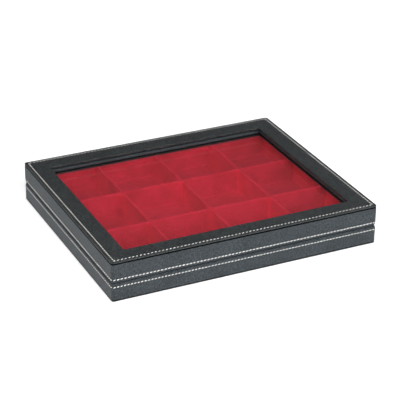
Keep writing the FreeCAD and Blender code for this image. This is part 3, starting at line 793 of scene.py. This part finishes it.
def mitred_strip(name, side, profile, mat, seed, wave=0.04, k=64):
    """One side of a frame. profile is a closed run of (n, z) from the outside face of the case."""
    along_x = side in ("front", "back")
    m = len(profile)
    verts, faces = [], []
    for j in range(k + 1):
        t = -1 + 2 * j / k
        for n, z in profile:
            half = (HX if along_x else HY) - n - 0.03
            off = (HY if along_x else HX) - n
            u = t * half
            w = wave * noise.noise(Vector((u * 0.05 + seed, z * 0.3, n * 0.3)))
            w += wave * 0.4 * noise.noise(Vector((u * 0.21 + seed, z * 0.7, n * 0.5 + 4.0)))
            if abs(t) > 0.999:
                w = 0.0
            o = off + w
            if side == "front":
                verts.append((u, -o, z))
            elif side == "back":
                verts.append((u, o, z))
            elif side == "left":
                verts.append((-o, u, z))
            else:
                verts.append((o, u, z))
    for j in range(k):
        for i in range(m):
            i2 = (i + 1) % m
            faces.append((j * m + i, j * m + i2, (j + 1) * m + i2, (j + 1) * m + i))
    faces.append(tuple(range(m)))
    faces.append(tuple(k * m + i for i in range(m))[::-1])
    o = make_object(name, verts, faces, mat)
    bm = bmesh.new()
    bm.from_mesh(o.data)
    bmesh.ops.recalc_face_normals(bm, faces=bm.faces)
    for f in bm.faces:
        if len(f.verts) > 4:
            f.smooth = False
    for e in bm.edges:
        if len(e.link_faces) == 2 and e.calc_face_angle(0.0) > math.radians(38):
            e.smooth = False
    bm.to_mesh(o.data)
    bm.free()
    return o


Z_PANE, Z_BEAD = 33.8, 38.4
bead = arc_pts(N_BEAD - 2.2, Z_PANE + 2.2, 2.2, -90, 0, 10)
bead += arc_pts(N_BEAD - 2.2, Z_BEAD - 2.2, 2.2, 0, 90, 10)
bead += [(N_BEAD - 2.95, Z_BEAD), (N_BEAD - 3.0, Z_BEAD + 0.1), (N_BEAD - 3.0, Z_SHOULDER - 0.05), (6.5, Z_SHOULDER - 0.05), (6.5, Z_PANE)]
for q, sd in enumerate(("front", "back", "left", "right")):
    piece = mitred_strip("liner_" + sd, sd, dedupe(bead), M_LINER, 3.0 + q * 7.3)
    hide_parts("window_liner_" + sd)
    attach(piece, "lid")


def stitch_loop(name, hx, hy, r, pitch, seed, z=None, z_top=None, length=0.68, radius=0.52,
                slant=0.30, proud=0.34):
    """One piece holding every stitch of a loop. On a side wall z is the loop's height; on the top, z_top."""
    rnd = random.Random(seed)
    _, total = loop_params(hx, hy, r, 1.0, 4)
    count = round(total / pitch)
    step = total / count
    lens = (2 * (hx - r), 2 * (hy - r), 2 * (hx - r), 2 * (hy - r))
    arc = math.pi / 2 * r

    def at(s):
        s %= total
        for q in range(4):
            if s < lens[q]:
                return station(hx, hy, r, ("L", q, s / lens[q], 0), 0.0)
            s -= lens[q]
            if s < arc:
                return station(hx, hy, r, ("A", q, s / arc, 0), 0.0)
            s -= arc
        return station(hx, hy, r, ("L", 0, 0.0, 0), 0.0)

    verts, faces = [], []
    NA, NL = 10, 11
    for k in range(count):
        s0 = k * step + rnd.uniform(-0.03, 0.03) * step
        half = step * (length + rnd.uniform(-0.03, 0.03)) / 2
        tilt = slant * rnd.uniform(0.75, 1.25)
        lift = proud * rnd.uniform(0.8, 1.15)
        rad = radius * rnd.uniform(0.94, 1.05)
        turn = rnd.uniform(0, math.pi)
        side = rnd.uniform(-0.05, 0.05)
        base = len(verts)
        for i in range(NL):
            t = -1 + 2 * i / (NL - 1)
            x, y, ox, oy = at(s0 + t * half)
            n = Vector((ox, oy, 0.0)) if z is not None else Vector((0, 0, 1))
            b = Vector((0, 0, 1)) if z is not None else Vector((-ox, -oy, 0.0))
            c = Vector((x, y, z if z is not None else z_top))
            sink = abs(t) ** 4.2
            c = c + n * (lift - rad * 0.55 - sink * (rad * 1.15)) + b * (tilt * t + side)
            rr = rad * (1.0 - 0.20 * abs(t) ** 4)
            for a in range(NA):
                ang = 2 * math.pi * a / NA
                ply = 1.0 + 0.12 * math.cos(2 * (ang - turn) - t * 5.2)
                v = c + (n * math.cos(ang) + b * math.sin(ang)) * rr * ply
                verts.append((v.x, v.y, v.z))
        for i in range(NL - 1):
            for a in range(NA):
                a2 = (a + 1) % NA
                faces.append((base + i * NA + a, base + i * NA + a2,
                              base + (i + 1) * NA + a2, base + (i + 1) * NA + a))
        faces.append(tuple(base + a for a in range(NA))[::-1])
        faces.append(tuple(base + (NL - 1) * NA + a for a in range(NA)))
    o = make_object(name, verts, faces, M_THREAD)
    bm = bmesh.new()
    bm.from_mesh(o.data)
    bmesh.ops.recalc_face_normals(bm, faces=bm.faces)
    bm.to_mesh(o.data)
    bm.free()
    return o


for piece, node, body in (
        (stitch_loop("stitches_top", SX, SY, R_ST, 4.01, 11, z_top=H - 0.08, radius=0.47, proud=0.44, length=0.63), "lid_top_stitching", "lid"),
        (stitch_loop("stitches_lid_side", HX - 0.08, HY - 0.08, R_VERT, 3.92, 12, z=Z_STITCH_LID, radius=0.50, proud=0.32), "lid_side_stitching", "lid"),
        (stitch_loop("stitches_base_side", HX - 0.08, HY - 0.08, R_VERT, 3.67, 13, z=Z_STITCH_BASE), "base_stitching", "base")):
    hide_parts(node)
    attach(piece, body)


# ------------------------------------------------------------------ felt pad
def felt_piece():
    hx, hy, r = 140.5, 115.5, 3.0
    verts, faces = [], []
    sec = [(0.35, 1.0), (0.06, 0.86), (0.0, 0.62), (0.04, 0.32), (0.22, 0.08), (0.8, 0.0),
           (4.0, 0.0), (14.0, 0.0), (34.0, 0.0), (60.0, 0.0), (90.0, 0.0)]
    NSX, NSY, KA = 44, 36, 6

    def loop(o, z):
        pts = []
        rr = max(r - o, 0.4)
        ax, ay = hx - o - rr, hy - o - rr
        order = ((1, -1, -90), (1, 1, 0), (-1, 1, 90), (-1, -1, 180))
        for q, (sx, sy, a0) in enumerate(order):
            for i in range(KA + 1):
                a = math.radians(a0 + 90 * i / KA)
                pts.append((sx * ax + rr * math.cos(a), sy * ay + rr * math.sin(a), z))
            n = NSY if q % 2 == 0 else NSX
            sx2, sy2, a2 = order[(q + 1) % 4]
            a = math.radians(a2)
            ex, ey = sx2 * ax + rr * math.cos(a), sy2 * ay + rr * math.sin(a)
            x0, y0, _ = pts[-1]
            for i in range(1, n):
                pts.append((x0 + (ex - x0) * i / n, y0 + (ey - y0) * i / n, z))
        return pts

    prev = None
    first = None
    for o, z in sec:
        i0 = len(verts)
        for x, y, zz in loop(o, z):
            if 0.05 < zz < 0.95:
                w = 0.10 * noise.noise(Vector((x * 0.5, y * 0.5, 2.0)))
                d = Vector((x, y, 0)).normalized()
                x, y = x - d.x * abs(w), y - d.y * abs(w)
            verts.append((x, y, zz))
        cur = list(range(i0, len(verts)))
        if prev:
            m = len(cur)
            for i in range(m):
                j = (i + 1) % m
                faces.append((cur[i], cur[j], prev[j], prev[i]))
        else:
            first = cur
        prev = cur
    faces.append(tuple(prev))
    faces.append(tuple(first[::-1]))
    o = make_object("felt_underlay", verts, faces, M_FELT)
    return clean(o)


felt = felt_piece()
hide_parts("base_felt_pad")
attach(felt, "base")

# ------------------------------------------------------------------ floor and light
FLOOR_NEAR, FLOOR_FAR = 0.60, 1.0
bm = bmesh.new()
bmesh.ops.create_grid(bm, x_segments=8, y_segments=8, size=6.0)
me = bpy.data.meshes.new("floor")
bm.to_mesh(me)
bm.free()
floor = bpy.data.objects.new("floor", me)
scene.collection.objects.link(floor)
k = Mat("floor_pale")
k.link(k.ramp(k.noise(3.0, 2.0, 0.5), [(0.3, (0.885, 0.885, 0.885)), (0.7, (0.90, 0.90, 0.90))]),
       k.bsdf.inputs["Base Color"])
k.set(Roughness=0.9)
k.bsdf.inputs["Specular IOR Level"].default_value = 0.1
k.bsdf.inputs["Emission Strength"].default_value = 1.0
part = k.add("ShaderNodeSeparateXYZ")
k.link(k.co, part.inputs[0])
ax = k.math("SUBTRACT", k.math("ABSOLUTE", part.outputs["X"]), (HX - 2.0) * MM)
ay = k.math("SUBTRACT", k.math("ABSOLUTE", part.outputs["Y"]), (HY - 2.0) * MM)
gap = k.math("MAXIMUM", k.math("MAXIMUM", ax, ay), 0.0)
shade = k.add("ShaderNodeMapRange", interpolation_type="SMOOTHSTEP")     # painted contact shadow: the glow dies away where the case stands
for name_, v_ in (("From Min", 0.0), ("From Max", 0.003), ("To Min", 0.0), ("To Max", 1.0)):
    shade.inputs[name_].default_value = v_
k.link(gap, shade.inputs["Value"])
far = k.add("ShaderNodeMapRange", interpolation_type="SMOOTHSTEP")       # painted light: the floor glows, more with distance from the case, away from the lamps' pool
for name_, v_ in (("From Min", 0.03), ("From Max", 0.55), ("To Min", FLOOR_NEAR), ("To Max", FLOOR_FAR)):
    far.inputs[name_].default_value = v_
k.link(gap, far.inputs["Value"])
k.link(k.math("MULTIPLY", shade.outputs["Result"], far.outputs["Result"]), k.bsdf.inputs["Emission Color"])
me.materials.append(k.m)
floor.location.z = -0.05 * MM            # just under the felt, so the two never share a plane

world = bpy.data.worlds.new("studio")
scene.world = world
world.use_nodes = True
wt = world.node_tree
bg = wt.nodes["Background"]
bg.inputs["Strength"].default_value = 1.0
wc = wt.nodes.new("ShaderNodeTexCoord")
wz = wt.nodes.new("ShaderNodeSeparateXYZ")
wt.links.new(wc.outputs["Generated"], wz.inputs[0])
wr = wt.nodes.new("ShaderNodeValToRGB")          # pale low down, a dim ceiling above
wr.color_ramp.elements[0].position, wr.color_ramp.elements[0].color = 0.03, (0.36, 0.37, 0.38, 1)
wr.color_ramp.elements[1].position, wr.color_ramp.elements[1].color = 0.22, (0.015, 0.0155, 0.0165, 1)
wt.links.new(wz.outputs["Z"], wr.inputs["Fac"])
wl = wt.nodes.new("ShaderNodeLightPath")         # a plain pale backdrop where the camera sees past the floor
wm = wt.nodes.new("ShaderNodeMix")
wm.data_type = "RGBA"
for s_ in wm.inputs:
    if s_.name == "B" and s_.type == "RGBA":
        s_.default_value = (1.0, 1.0, 1.0, 1)
wa = [s_ for s_ in wm.inputs if s_.name == "A" and s_.type == "RGBA"][0]
wo = [s_ for s_ in wm.outputs if s_.type == "RGBA"][0]
wt.links.new(wl.outputs["Is Camera Ray"], wm.inputs["Factor"])
wt.links.new(wr.outputs["Color"], wa)
wt.links.new(wo, bg.inputs["Color"])


def area(name, pos, target, size, power, color=(1, 1, 1), size_y=None):
    d = bpy.data.lights.new(name, "AREA")
    d.energy = power
    d.color = color
    d.size = size
    if size_y:
        d.shape = "RECTANGLE"
        d.size_y = size_y
    o = bpy.data.objects.new(name, d)
    scene.collection.objects.link(o)
    o.location = pos
    o.rotation_mode = "QUATERNION"
    o.rotation_quaternion = (Vector(target) - Vector(pos)).to_track_quat("-Z", "Y")
    return o


def softbox(name, az, el, power, size=1.3, dist=2.4):
    az, el = math.radians(az), math.radians(el)
    p = Vector((math.sin(az) * math.cos(el), -math.cos(az) * math.cos(el), math.sin(el))) * dist
    return area(name, p, (0, 0, 0), size, power)


softbox("key_front", -2, 36, 13.0, 0.82, 1.5)
softbox("front_left_high", -45, 45, 15.0)
softbox("left", -90, 45, 12.0)
side_lamp = softbox("front_right", 45, 30, 12.0)
side_lamp.visible_glossy = False      # it would stand as a white sheet in the pane
softbox("back_right", 120, 35, 4.5)
